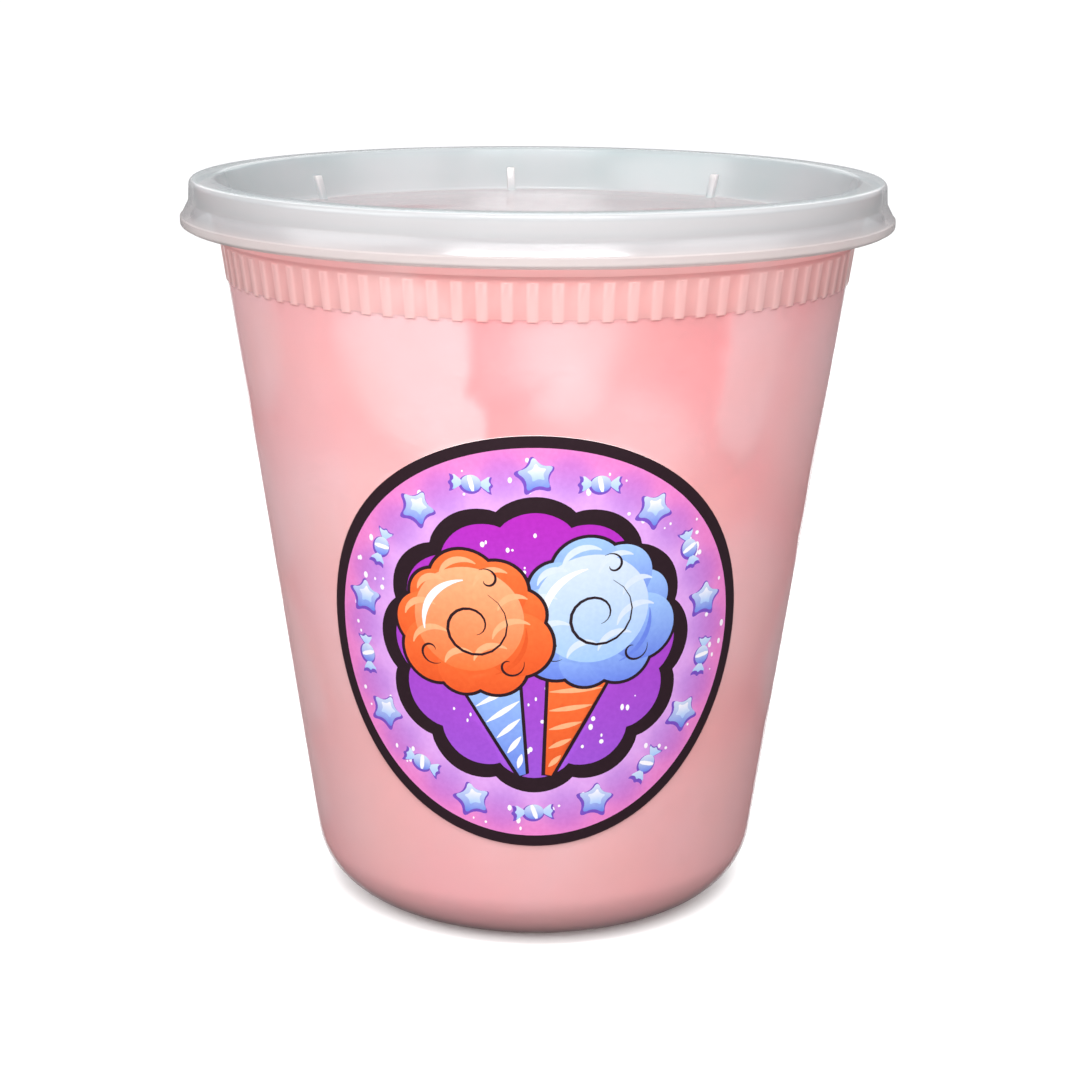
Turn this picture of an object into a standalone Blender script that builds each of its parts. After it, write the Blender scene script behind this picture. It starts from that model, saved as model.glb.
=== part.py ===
"""A round plastic tub of cotton candy with its push-fit lid and a round sticker.

Units are metres and +Z is up. The origin is the middle of the tub's base, and -Y is the front.
The tub, the lid, the packed candy and the sticker are one closed solid each, a small gap apart.
Angles round the tub are in degrees from the front, positive towards +X.
"""

import math

import bmesh
import bpy
from mathutils import Matrix, Vector

GAP = 0.0003
MERGE = 0.00001
CHORD_ERROR = 0.00019
UNION_SINK = 0.0004

# Tub: a tapered wall on a rounded foot, with a ribbed collar and a flanged rim.
FOOT_RADIUS = 0.03674
TAPER = math.radians(7.82)
CORNER_RADIUS = 0.0112
WALL = 0.00065
FLOOR = 0.0008
SHOULDER_HEIGHT = 0.1135
COLLAR_FOOT = 0.1123
COLLAR_FOOT_RADIUS = 0.05288
COLLAR_TOP_RADIUS = 0.0544
RIM_HEIGHT = 0.1209
RIM_INNER_RADIUS = 0.05395
RIM_OUTER_RADIUS = 0.0559
FLANGE_THICK = 0.0016
RIB_COUNT = 88
RIB_WIDTH = 0.00165
RIB_PROUD = 0.0005
RIB_LOW = 0.1059
RIB_HIGH = 0.1126
RIB_ANGLE = -0.75

# Lid: a flat sunk panel inside a channel that caps the rim and flares into a lip.
TOP_HEIGHT = 0.12227
PANEL_HEIGHT = 0.1147
PANEL_RADIUS = 0.0502
LID_THICK = 0.0008
CREST_INNER_RADIUS = 0.0529
CREST_OUTER_RADIUS = 0.0571
WAIST_RADIUS = 0.0573
WAIST_HEIGHT = 0.1186
LIP_RADIUS = 0.05876
LIP_HEIGHT = 0.1156
SKIRT_HEIGHT = 0.1145
SKIRT_INNER_RADIUS = 0.05695
SNAP_RADIUS = 0.0556
SNAP_HEIGHT = 0.1181
CHANNEL_INNER_RADIUS = 0.05375
CHANNEL_OUTER_RADIUS = 0.05625
LID_STEPS = 60
LID_RIB_COUNT = 8
LID_RIB_ANGLE = -174.2
LID_RIB_WIDTH = 0.0012
LID_RIB_PROUD = 0.0012
LID_RIB_HIGH = 0.1188

# Candy: wads pressed against the wall and up to just under the lid, with creases between them.
CANDY_TOP = 0.1134
CANDY_EDGE_RADIUS = 0.004
CANDY_STEPS = 48
CANDY_RING = 0.011
CREASE_DEPTH = 0.0032
CREASE_WIDTH = 0.011
WAD_DEPTH = 0.034
WADS = [
    # angle, height
    (-28, 0.096), (10, 0.101), (46, 0.098), (84, 0.094), (124, 0.100),
    (163, 0.095), (-158, 0.101), (-112, 0.097), (-70, 0.092), (5, 0.079),
    (-42, 0.064), (38, 0.062), (88, 0.058), (140, 0.066), (-165, 0.060),
    (-118, 0.065), (-75, 0.056), (0, 0.034), (62, 0.026), (125, 0.030),
    (-175, 0.027), (-122, 0.032), (-60, 0.028),
]
WAD_CORE_HEIGHT = 0.107

# Sticker: a flat disc wrapped round the front of the wall.
LABEL_RADIUS = 0.0348
LABEL_HEIGHT = 0.0543
LABEL_THICK = 0.00025
LABEL_SEGMENTS = 72


def clear_scene():
    """Remove every object of the open scene."""
    for obj in list(bpy.data.objects):
        bpy.data.objects.remove(obj, do_unlink=True)


def make_collection(name):
    """Add a collection to the scene."""
    collection = bpy.data.collections.new(name)
    bpy.context.scene.collection.children.link(collection)
    return collection


def make_material(name, colour, roughness, alpha=1.0, subsurface=0.0):
    """Make a Principled material of one colour, which lets light through below alpha 1."""
    material = bpy.data.materials.new(name)
    material.use_nodes = True
    shader = material.node_tree.nodes["Principled BSDF"]
    shader.inputs["Base Color"].default_value = (*colour, 1)
    shader.inputs["Roughness"].default_value = roughness
    shader.inputs["Metallic"].default_value = 0
    shader.inputs["Alpha"].default_value = alpha
    shader.inputs["Subsurface Weight"].default_value = subsurface
    return material


def add_object(name, mesh, collection, material=None):
    """Put a mesh in the scene as a named object."""
    obj = bpy.data.objects.new(name, mesh)
    collection.objects.link(obj)
    if material:
        mesh.materials.append(material)
    return obj


def mesh_from(bm, name):
    """Turn a bmesh into a mesh and free it."""
    mesh = bpy.data.meshes.new(name)
    bm.to_mesh(mesh)
    bm.free()
    return mesh


def wall_radius(height):
    """Radius of the tub's outer wall at a height, on the line that ignores the rounded foot."""
    return FOOT_RADIUS + height * math.tan(TAPER)


def direction(angle):
    """Unit vector pointing out from the axis at an angle from the front."""
    turn = math.radians(angle)
    return Vector((math.sin(turn), -math.cos(turn), 0))


def rounded_outline(corners):
    """Turn corners of radius, height and fillet into points, with an arc at each fillet."""
    points = []
    for index, (radius, height, fillet) in enumerate(corners):
        corner = Vector((radius, height))
        if fillet == 0:
            points.append(corner)
            continue
        before = (Vector(corners[index - 1][:2]) - corner).normalized()
        after = (Vector(corners[index + 1][:2]) - corner).normalized()
        half = before.angle(after) / 2
        centre = corner + (before + after).normalized() * fillet / math.sin(half)
        start = corner + before * fillet / math.tan(half) - centre
        end = corner + after * fillet / math.tan(half) - centre
        widest_step = 2 * math.acos(1 - CHORD_ERROR / fillet)
        steps = math.ceil(start.angle(end) / widest_step)
        for step in range(steps + 1):
            points.append(centre + start.slerp(end, step / steps) * fillet)
    return points


def turned(name, outline, steps, start_angle, collection, material=None):
    """Turn an outline of radius and height round Z; its outer side runs from top to bottom."""
    bm = bmesh.new()
    turn = Matrix.Rotation(math.radians(start_angle), 3, "Z")
    corners = [bm.verts.new(turn @ Vector((radius, 0, height))) for radius, height in outline]
    for first, second in zip(corners, corners[1:]):
        bm.edges.new((first, second))
    obj = add_object(name, mesh_from(bm, name), collection, material)
    screw = obj.modifiers.new("turn", "SCREW")
    screw.axis = "Z"
    screw.angle = math.tau
    screw.steps = steps
    screw.render_steps = steps
    screw.use_merge_vertices = True
    screw.merge_threshold = MERGE
    screw.use_smooth_shade = True
    return obj


def add_bars(name, count, first_angle, width, foot, head, inward, collection):
    """Make a ring of bars between two points of radius and height, to be joined to a shell."""
    along = Vector((head[0] - foot[0], 0, head[1] - foot[1]))
    lean = math.atan2(along.x, along.z)
    thick = abs(inward)
    middle = Vector(((foot[0] + head[0]) / 2, 0, (foot[1] + head[1]) / 2))
    across = Vector((math.cos(lean), 0, -math.sin(lean)))
    middle -= across * inward / 2
    bm = bmesh.new()
    for index in range(count):
        turn = math.radians(first_angle + 360 * index / count - 90)
        place = (
            Matrix.Rotation(turn, 4, "Z")
            @ Matrix.Translation(middle)
            @ Matrix.Rotation(lean, 4, "Y")
            @ Matrix.Diagonal((thick, width, along.length, 1))
        )
        bmesh.ops.create_cube(bm, size=1, matrix=place)
    bars = add_object(name, mesh_from(bm, name), collection)
    bars.hide_render = True
    bars.display_type = "WIRE"
    return bars


def join_bars(obj, bars):
    """Join a ring of bars to a shell as one body."""
    union = obj.modifiers.new("bars", "BOOLEAN")
    union.operation = "UNION"
    union.solver = "EXACT"
    union.object = bars


def build_tub(collection, cutters):
    """Make the tub: floor, tapered wall, ribbed collar and flanged rim in one turned shell."""
    inner_foot = wall_radius(FLOOR) - WALL / math.cos(TAPER)
    inner_shoulder = wall_radius(SHOULDER_HEIGHT) - WALL / math.cos(TAPER)
    flange_low = RIM_HEIGHT - FLANGE_THICK
    outline = rounded_outline([
        (0, FLOOR, 0),
        (inner_foot, FLOOR, CORNER_RADIUS - WALL),
        (inner_shoulder, SHOULDER_HEIGHT, 0),
        (RIM_INNER_RADIUS, RIM_HEIGHT, 0),
        (RIM_OUTER_RADIUS, RIM_HEIGHT, FLANGE_THICK / 3),
        (RIM_OUTER_RADIUS, flange_low, 0),
        (COLLAR_TOP_RADIUS, flange_low - GAP, 0),
        (COLLAR_FOOT_RADIUS, COLLAR_FOOT, 0),
        (wall_radius(COLLAR_FOOT - GAP), COLLAR_FOOT - GAP, 0),
        (FOOT_RADIUS, 0, CORNER_RADIUS),
        (0, 0, 0),
    ])
    # A rib's middle lies on the middle of a facet of the wall.
    start_angle = RIB_ANGLE + 180 / RIB_COUNT - 90
    material = make_material("milky_plastic", (0.90, 0.86, 0.86), 0.32, 0.45)
    tub = turned("tub", outline, RIB_COUNT, start_angle, collection, material)
    foot = (wall_radius(RIB_LOW) + RIB_PROUD, RIB_LOW)
    head = (wall_radius(RIB_HIGH) + RIB_PROUD, RIB_HIGH)
    inward = RIB_PROUD + UNION_SINK
    bars = add_bars("collar_ribs", RIB_COUNT, RIB_ANGLE, RIB_WIDTH, foot, head, inward, cutters)
    join_bars(tub, bars)
    return tub


def build_lid(collection, cutters):
    """Make the lid: sunk panel, channel over the rim, snap bead, flared lip and short ribs."""
    under_panel = PANEL_HEIGHT - LID_THICK
    under_crest = TOP_HEIGHT - LID_THICK
    leg_radius = PANEL_RADIUS + LID_THICK
    outline = rounded_outline([
        (0, PANEL_HEIGHT, 0),
        (PANEL_RADIUS, PANEL_HEIGHT, LID_THICK),
        (CREST_INNER_RADIUS, TOP_HEIGHT, LID_THICK),
        (CREST_OUTER_RADIUS, TOP_HEIGHT, 0.001),
        (WAIST_RADIUS, WAIST_HEIGHT, 0.003),
        (LIP_RADIUS, LIP_HEIGHT, 0.0006),
        (LIP_RADIUS - GAP, SKIRT_HEIGHT, 0.0005),
        (SKIRT_INNER_RADIUS, SKIRT_HEIGHT, 0),
        (SKIRT_INNER_RADIUS, LIP_HEIGHT + LID_THICK, 0),
        (SNAP_RADIUS, SNAP_HEIGHT, 0),
        (CHANNEL_OUTER_RADIUS, SNAP_HEIGHT + LID_THICK, 0),
        (CHANNEL_OUTER_RADIUS, under_crest, 0),
        (CHANNEL_INNER_RADIUS, under_crest, 0),
        (leg_radius, under_panel, 0),
        (0, under_panel, 0),
    ])
    material = make_material("frosted_plastic", (0.86, 0.89, 0.92), 0.36, 0.5)
    lid = turned("lid", outline, LID_STEPS, 0, collection, material)
    # The ribs lean with the recess wall, sunk into it and into the panel.
    slope = (CREST_INNER_RADIUS - PANEL_RADIUS) / (TOP_HEIGHT - PANEL_HEIGHT)
    lean = math.atan(slope)
    face_foot = PANEL_RADIUS - LID_RIB_PROUD / math.cos(lean)
    foot = (face_foot, PANEL_HEIGHT)
    head = (face_foot + slope * (LID_RIB_HIGH - PANEL_HEIGHT), LID_RIB_HIGH)
    inward = -(LID_RIB_PROUD + UNION_SINK)
    bars = add_bars(
        "lid_ribs", LID_RIB_COUNT, LID_RIB_ANGLE, LID_RIB_WIDTH, foot, head, inward, cutters
    )
    join_bars(lid, bars)
    return lid


def wad_centres():
    """Middles of the wads: a ring at each listed angle and height, and one on the axis."""
    centres = []
    for angle, height in WADS:
        centres.append(direction(angle) * WAD_DEPTH + Vector((0, 0, height)))
    centres.append(Vector((0, 0, WAD_CORE_HEIGHT)))
    return centres


def crease_depth(point, centres):
    """Depth of the crease at a point, deepest where two wads are equally near."""
    nearest, second = sorted((point - centre).length for centre in centres)[:2]
    closeness = max(0, 1 - (second - nearest) / CREASE_WIDTH)
    return CREASE_DEPTH * closeness ** 2


def build_candy(collection):
    """Make the candy: one packed mass with the tub's inner shape and creases between its wads."""
    clearance = (WALL + GAP) / math.cos(TAPER)
    floor = FLOOR + GAP
    top_radius = wall_radius(CANDY_TOP) - clearance
    corners = [(0, CANDY_TOP, 0)]
    for part in (0.25, 0.5, 0.75):
        corners.append((top_radius * part, CANDY_TOP, 0))
    corners.append((top_radius, CANDY_TOP, CANDY_EDGE_RADIUS))
    rings = round((CANDY_TOP - floor) / CANDY_RING)
    for ring in range(1, rings - 1):
        height = CANDY_TOP - ring * CANDY_RING
        corners.append((wall_radius(height) - clearance, height, 0))
    foot_radius = wall_radius(floor) - clearance
    corners.append((foot_radius, floor, CORNER_RADIUS - WALL - GAP))
    corners.append((0, floor, 0))
    material = make_material("candy_floss", (0.93, 0.46, 0.50), 0.9, subsurface=0.3)
    candy = turned("cotton_candy", rounded_outline(corners), CANDY_STEPS, 0, collection, material)

    evaluated = candy.evaluated_get(bpy.context.evaluated_depsgraph_get())
    mesh = bpy.data.meshes.new_from_object(evaluated)
    candy.modifiers.clear()
    candy.data = mesh
    centres = wad_centres()
    moves = [vertex.normal * crease_depth(vertex.co, centres) for vertex in mesh.vertices]
    for vertex, move in zip(mesh.vertices, moves):
        vertex.co -= move
    return candy


def wrap_on_wall(across, up):
    """Place a point of a flat sheet, given from the sticker's middle, on the tub's wall."""
    middle = wall_radius(LABEL_HEIGHT) / math.sin(TAPER)
    slant = math.hypot(across, middle + up)
    turn = math.atan2(across, middle + up) / math.sin(TAPER)
    radius = slant * math.sin(TAPER)
    height = (radius - FOOT_RADIUS) / math.tan(TAPER)
    outward = direction(math.degrees(turn))
    normal = outward * math.cos(TAPER) - Vector((0, 0, math.sin(TAPER)))
    return outward * radius + Vector((0, 0, height)) + normal * GAP


def build_label(collection):
    """Make the sticker: a disc cut into upright strips, wrapped on the wall and thickened."""
    bm = bmesh.new()
    bmesh.ops.create_circle(bm, cap_ends=True, segments=LABEL_SEGMENTS, radius=LABEL_RADIUS)
    columns = sorted({round(vertex.co.x, 6) for vertex in bm.verts})
    for column in columns[1:-1]:
        geometry = bm.verts[:] + bm.edges[:] + bm.faces[:]
        bmesh.ops.bisect_plane(
            bm, geom=geometry, dist=MERGE, plane_co=(column, 0, 0), plane_no=(1, 0, 0)
        )
    for vertex in bm.verts:
        vertex.co = wrap_on_wall(vertex.co.x, vertex.co.y)
    material = make_material("printed_sticker", (0.62, 0.30, 0.72), 0.35)
    label = add_object("label", mesh_from(bm, "label"), collection, material)
    thicken = label.modifiers.new("thickness", "SOLIDIFY")
    thicken.thickness = LABEL_THICK
    thicken.offset = 1
    return label


def main():
    """Build the whole object."""
    clear_scene()
    collection = make_collection("cotton_candy_tub")
    cutters = make_collection("joined_shapes")
    build_tub(collection, cutters)
    build_lid(collection, cutters)
    build_candy(collection)
    build_label(collection)


main()
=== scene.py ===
"""Looks for a lidded round tub packed with pink cotton candy.

The frame gives the real sizes. The tub, the lid, the candy and the sticker are each replaced by a
finer mesh of the same size: a turned shell with a ribbed collar, a turned lid, a mass of packed
wads with creases between them, and a printed sticker wrapped on the wall.
Lengths are in metres. Angles round the tub are in degrees from the front (-Y), positive to +X.
"""

import math
import random

import bmesh
import bpy
import numpy as np
from mathutils import Matrix, Vector, noise
from mathutils.geometry import delaunay_2d_cdt


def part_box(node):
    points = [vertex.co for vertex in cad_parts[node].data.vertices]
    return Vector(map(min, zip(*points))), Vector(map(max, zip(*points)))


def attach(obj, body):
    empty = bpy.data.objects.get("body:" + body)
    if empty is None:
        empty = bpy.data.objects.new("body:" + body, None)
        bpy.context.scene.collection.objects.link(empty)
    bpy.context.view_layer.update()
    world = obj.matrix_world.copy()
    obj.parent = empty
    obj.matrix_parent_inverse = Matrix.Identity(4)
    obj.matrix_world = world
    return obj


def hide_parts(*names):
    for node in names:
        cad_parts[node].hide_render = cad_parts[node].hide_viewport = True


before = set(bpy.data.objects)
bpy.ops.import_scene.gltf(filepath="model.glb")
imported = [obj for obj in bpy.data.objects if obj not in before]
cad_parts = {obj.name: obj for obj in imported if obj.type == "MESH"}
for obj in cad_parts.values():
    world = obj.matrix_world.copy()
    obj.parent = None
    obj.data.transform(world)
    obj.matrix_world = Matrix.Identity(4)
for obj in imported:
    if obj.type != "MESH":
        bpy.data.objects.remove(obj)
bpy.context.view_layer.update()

MM = 0.001
CHORD_ERROR = 0.004 * MM
RING_SPACING = 3 * MM

# Sizes that the frame gives.
TUB_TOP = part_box("tub")[1].z
LID_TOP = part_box("lid")[1].z
LIP_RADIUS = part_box("lid")[1].x
LID_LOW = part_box("lid")[0].z
CANDY_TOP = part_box("cotton_candy")[1].z
LABEL_LOW, LABEL_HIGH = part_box("label")[0].z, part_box("label")[1].z

# The tub's shell.
FOOT_RADIUS = 36.74 * MM
TAPER = math.radians(7.82)
CORNER_RADIUS = 11.2 * MM
WALL = 0.65 * MM
FLOOR = 0.8 * MM
SHOULDER_HEIGHT = 113.5 * MM
COLLAR_FOOT = 112.35 * MM
COLLAR_FOOT_RADIUS = 52.88 * MM
COLLAR_TOP_RADIUS = 54.4 * MM
RIM_INNER_RADIUS = 53.95 * MM
RIM_OUTER_RADIUS = 55.9 * MM
FLANGE_THICK = 1.6 * MM
RIB_COUNT = 88
RIB_ANGLE = -0.75
RIB_HALF_WIDTH = 0.92
RIB_EDGE = 0.2
RIB_PROUD = 0.26 * MM
GAP_PROUD = 0.12 * MM
RIB_LOW = 105.9 * MM
RIB_HIGH = 111.85 * MM
GAP_LOW = 106.3 * MM
RIB_SOFT = 0.14 * MM

WALL_OPACITY = 0.34
GAP_OPACITY = 0.58
RIB_OPACITY = 0.7

# The lid.
PANEL_DEPTH = 7.57 * MM
PANEL_RADIUS = 50.2 * MM
LID_THICK = 0.8 * MM
CREST_INNER_RADIUS = 52.9 * MM
CREST_OUTER_RADIUS = 57.1 * MM
WAIST_RADIUS = 57.3 * MM
WAIST_HEIGHT = 118.6 * MM
LIP_HEIGHT = 116.3 * MM
SKIRT_HEIGHT = 114.5 * MM
SKIRT_INNER_RADIUS = 56.95 * MM
SNAP_RADIUS = 55.6 * MM
SNAP_HEIGHT = 118.1 * MM
CHANNEL_INNER_RADIUS = 53.75 * MM
CHANNEL_OUTER_RADIUS = 56.25 * MM
LID_COLUMNS = 480
LID_RIB_COUNT = 8
LID_RIB_ANGLE = -174.2
LID_RIB_WIDTH = 1.4 * MM
LID_RIB_PROUD = 1.0 * MM
LID_RIB_RISE = 4.1 * MM
LID_RIB_SINK = 0.4 * MM
LID_SHADE = 0.17
RIB_MILK = 0.1
PANEL_OPACITY = 0.78
SPOT_NOISE = 70
SPOT_WAVER = 6 * MM
# Where the candy touches the panel: middle, half sizes and turn in degrees.
PANEL_TOUCHES = [
    ((-21 * MM, 19.5 * MM), (10 * MM, 3.6 * MM), 8),
    ((22.5 * MM, 19.5 * MM), (6.5 * MM, 2.6 * MM), 12),
    ((6 * MM, -20 * MM), (16 * MM, 9 * MM), -20),
    ((-26 * MM, -14 * MM), (9 * MM, 6 * MM), 40),
]


def wall_radius(height):
    """Radius of the tub's outer wall at a height, on the line that ignores the rounded foot."""
    return FOOT_RADIUS + height * math.tan(TAPER)


def direction(angle):
    """Unit vector out from the axis at an angle in degrees from the front."""
    turn = math.radians(angle)
    return Vector((math.sin(turn), -math.cos(turn), 0))


def smoothstep(low, high, value):
    """Ease from 0 at low to 1 at high, for numbers or arrays."""
    part = np.clip((value - low) / (high - low), 0, 1)
    return part * part * (3 - 2 * part)


# ---------------------------------------------------------------- materials


def new_material(name, colour, roughness, alpha=1.0, specular=0.5):
    """Make a Principled material and return it with its shader node and its tree."""
    material = bpy.data.materials.new(name)
    material.use_nodes = True
    tree = material.node_tree
    shader = tree.nodes["Principled BSDF"]
    shader.inputs["Base Color"].default_value = (*colour, 1)
    shader.inputs["Roughness"].default_value = roughness
    shader.inputs["Alpha"].default_value = alpha
    shader.inputs["Specular IOR Level"].default_value = specular
    return material, shader, tree


def add_noise(tree, scale, detail=2.0, roughness=0.5, stretch=(1, 1, 1), distortion=0.0):
    """Add a noise texture in object coordinates and return its value socket."""
    place = tree.nodes.new("ShaderNodeTexCoord")
    mapping = tree.nodes.new("ShaderNodeMapping")
    mapping.inputs["Scale"].default_value = stretch
    texture = tree.nodes.new("ShaderNodeTexNoise")
    texture.inputs["Scale"].default_value = scale
    texture.inputs["Detail"].default_value = detail
    texture.inputs["Roughness"].default_value = roughness
    texture.inputs["Distortion"].default_value = distortion
    tree.links.new(place.outputs["Object"], mapping.inputs["Vector"])
    tree.links.new(mapping.outputs["Vector"], texture.inputs["Vector"])
    return texture.outputs["Fac"]


def add_attribute(tree, name):
    """Read a per-vertex number of the mesh."""
    node = tree.nodes.new("ShaderNodeAttribute")
    node.attribute_name = name
    return node.outputs["Fac"]


def add_ramp(tree, value, stops):
    """Turn a value into colours; stops are pairs of place and colour."""
    ramp = tree.nodes.new("ShaderNodeValToRGB")
    elements = ramp.color_ramp.elements
    while len(elements) < len(stops):
        elements.new(0.5)
    for element, (place, colour) in zip(elements, stops):
        element.position = place
        element.color = (*colour, 1)
    tree.links.new(value, ramp.inputs["Fac"])
    return ramp.outputs["Color"]


def add_range(tree, value, low, high, from_low=0.0, from_high=1.0):
    """Map a value from one range to another."""
    node = tree.nodes.new("ShaderNodeMapRange")
    node.inputs["From Min"].default_value = from_low
    node.inputs["From Max"].default_value = from_high
    node.inputs["To Min"].default_value = low
    node.inputs["To Max"].default_value = high
    tree.links.new(value, node.inputs["Value"])
    return node.outputs["Result"]


def add_mix(tree, factor, first, second, blend="MIX"):
    """Mix two colours, each a socket or a tuple."""
    node = tree.nodes.new("ShaderNodeMix")
    node.data_type = "RGBA"
    node.blend_type = blend
    for socket, value in ((node.inputs[0], factor), (node.inputs[6], first), (node.inputs[7], second)):
        if isinstance(value, bpy.types.NodeSocket):
            tree.links.new(value, socket)
        elif isinstance(value, tuple):
            socket.default_value = (*value, 1)
        else:
            socket.default_value = value
    return node.outputs[2]


def add_bump(tree, shader, height, strength, distance):
    """Bump a shader's surface by a height socket."""
    bump = tree.nodes.new("ShaderNodeBump")
    bump.inputs["Strength"].default_value = strength
    bump.inputs["Distance"].default_value = distance
    tree.links.new(height, bump.inputs["Height"])
    tree.links.new(bump.outputs["Normal"], shader.inputs["Normal"])


def tub_material():
    """Milky polypropylene: the thin wall lets the candy show, the thick ribs are whiter.

    The stored opacity is all on the outer side, so that the wall looks even where candy touches it.
    """
    material, shader, tree = new_material("tub_plastic", (0.93, 0.72, 0.72), 0.3, 0.3)
    opacity = add_attribute(tree, "opacity")
    tree.links.new(opacity, shader.inputs["Alpha"])
    cloudy = add_noise(tree, 60, 3)
    colour = add_ramp(tree, opacity, [
        (WALL_OPACITY, (0.79, 0.60, 0.61)), (GAP_OPACITY, (0.89, 0.555, 0.53)), (RIB_OPACITY, (0.90, 0.585, 0.565))
    ])
    tree.links.new(add_mix(tree, add_range(tree, cloudy, 0, 0.3), colour, (0.86, 0.58, 0.57)),
                   shader.inputs["Base Color"])
    tree.links.new(add_range(tree, cloudy, 0.26, 0.36), shader.inputs["Roughness"])
    add_bump(tree, shader, add_noise(tree, 900, 2), 0.05, 0.02 * MM)
    return material


def add_spot(tree, centre, half_sizes, turn):
    """1 in the middle of a flat ellipsoid with a wavering outline, and 0 at its surface."""
    place = tree.nodes.new("ShaderNodeTexCoord")
    texture = tree.nodes.new("ShaderNodeTexNoise")
    texture.inputs["Scale"].default_value = SPOT_NOISE
    texture.inputs["Detail"].default_value = 0
    shift = tree.nodes.new("ShaderNodeVectorMath")
    shift.operation = "MULTIPLY_ADD"
    shift.inputs[1].default_value = (SPOT_WAVER, SPOT_WAVER, 0)
    tree.links.new(place.outputs["Object"], texture.inputs["Vector"])
    tree.links.new(texture.outputs["Color"], shift.inputs[0])
    tree.links.new(place.outputs["Object"], shift.inputs[2])
    mapping = tree.nodes.new("ShaderNodeMapping")
    mapping.vector_type = "TEXTURE"
    middle = (centre[0] + SPOT_WAVER / 2, centre[1] + SPOT_WAVER / 2, centre[2])
    mapping.inputs["Location"].default_value = middle
    mapping.inputs["Rotation"].default_value = (0, 0, math.radians(turn))
    mapping.inputs["Scale"].default_value = half_sizes
    gradient = tree.nodes.new("ShaderNodeTexGradient")
    gradient.gradient_type = "SPHERICAL"
    tree.links.new(shift.outputs["Vector"], mapping.inputs["Vector"])
    tree.links.new(mapping.outputs["Vector"], gradient.inputs["Vector"])
    return gradient.outputs["Fac"]


def add_math(tree, operation, first, second):
    """Combine two numbers, each a socket or a value."""
    node = tree.nodes.new("ShaderNodeMath")
    node.operation = operation
    for socket, value in zip(node.inputs, (first, second)):
        if isinstance(value, bpy.types.NodeSocket):
            tree.links.new(value, socket)
        else:
            socket.default_value = value
    return node.outputs["Value"]


def lid_material():
    """Frosted polypropylene, bluer than the tub, with painted shade in the recess and on the flare and a painted
    highlight on the bottom edge. It clears where the candy touches the panel.
    """
    material, shader, tree = new_material("lid_plastic", (0.62, 0.64, 0.66), 0.2, 0.62, 0.75)
    cloudy = add_noise(tree, 45, 3)
    milk_and_painted_light = add_attribute(tree, "milk_and_painted_light")
    panel = add_attribute(tree, "panel")
    # The inner faces and the panel take darker colours than the outer faces: painted shade in the recess.
    colour = add_ramp(tree, cloudy, [(0.3, (0.355, 0.415, 0.425)), (0.7, (0.405, 0.435, 0.45))])
    colour = add_mix(tree, panel, colour, (0.375, 0.345, 0.355))
    # Outer colours by milkiness: the flare's darker colour is painted shade where it faces the lamps above; the
    # bottom edge's white is the thicker plastic's milkiness plus a painted highlight.
    outside = add_ramp(tree, milk_and_painted_light, [
        (RIB_MILK, (0.80, 0.78, 0.78)), (0.2, (0.455, 0.455, 0.465)), (0.3, (0.33, 0.325, 0.335)),
        (0.4, (0.465, 0.415, 0.41)), (0.8, (0.80, 0.73, 0.72)),
    ])
    tree.links.new(add_mix(tree, add_range(tree, milk_and_painted_light, 0, 1, 0, 0.2), colour, outside),
                   shader.inputs["Base Color"])
    tree.links.new(add_range(tree, cloudy, 0.17, 0.23), shader.inputs["Roughness"])
    touched = 0.0
    for centre, half_sizes, turn in PANEL_TOUCHES:
        spot = add_spot(tree, (centre[0], centre[1], LID_TOP - PANEL_DEPTH), (*half_sizes, 2 * MM), turn)
        touched = add_math(tree, "MAXIMUM", touched, add_range(tree, spot, 0, 1, 0, 0.75))
    solid = add_math(tree, "MAXIMUM", add_range(tree, milk_and_painted_light, 0.62, 0.9), add_range(tree, panel, 0, PANEL_OPACITY))
    clear = add_math(tree, "MULTIPLY", solid, add_range(tree, touched, 1, 0.45))
    # Frosted plastic passes more light on to what lies under it than it lets the eye see.
    path = tree.nodes.new("ShaderNodeLightPath")
    shade = add_range(tree, path.outputs["Is Shadow Ray"], 1, LID_SHADE)
    tree.links.new(add_math(tree, "MULTIPLY", clear, shade), shader.inputs["Alpha"])
    add_bump(tree, shader, add_noise(tree, 700, 2), 0.04, 0.02 * MM)
    return material


def candy_material():
    """Packed spun sugar, with painted light where it lies on the wall and painted shade, deep salmon, in the
    creases.
    """
    material, shader, tree = new_material("spun_sugar", (0.93, 0.5, 0.53), 0.95, 1.0, 0.1)
    mottle = add_range(tree, add_noise(tree, 85, 3, 0.6), -0.16, 0.16)
    strands = add_range(tree, add_noise(tree, 520, 5, 0.7, (1, 1, 1), 2.5), -0.09, 0.09)
    grain = add_math(tree, "ADD", mottle, strands)
    # The colour holds painted light and shade: pale where the candy lies on the wall, deep salmon in the creases,
    # with random mottle.
    pressed = add_math(tree, "ADD", add_attribute(tree, "pressed"), grain)
    cloudy = add_noise(tree, 55, 4, 0.6)
    colour = add_ramp(tree, pressed, [
        (0.0, (0.93, 0.19, 0.22)), (0.4, (0.93, 0.31, 0.34)), (0.95, (0.93, 0.575, 0.605))
    ])
    peach = add_mix(tree, add_range(tree, cloudy, 0, 0.5, 0.4, 0.75), colour, (0.95, 0.42, 0.38))
    tree.links.new(peach, shader.inputs["Base Color"])
    shader.inputs["Sheen Weight"].default_value = 0.3
    shader.inputs["Sheen Roughness"].default_value = 0.6
    fibres = add_noise(tree, 340, 6, 0.65, (1, 1, 1), 2.5)
    add_bump(tree, shader, fibres, 0.5, 0.4 * MM)
    return material


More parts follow.
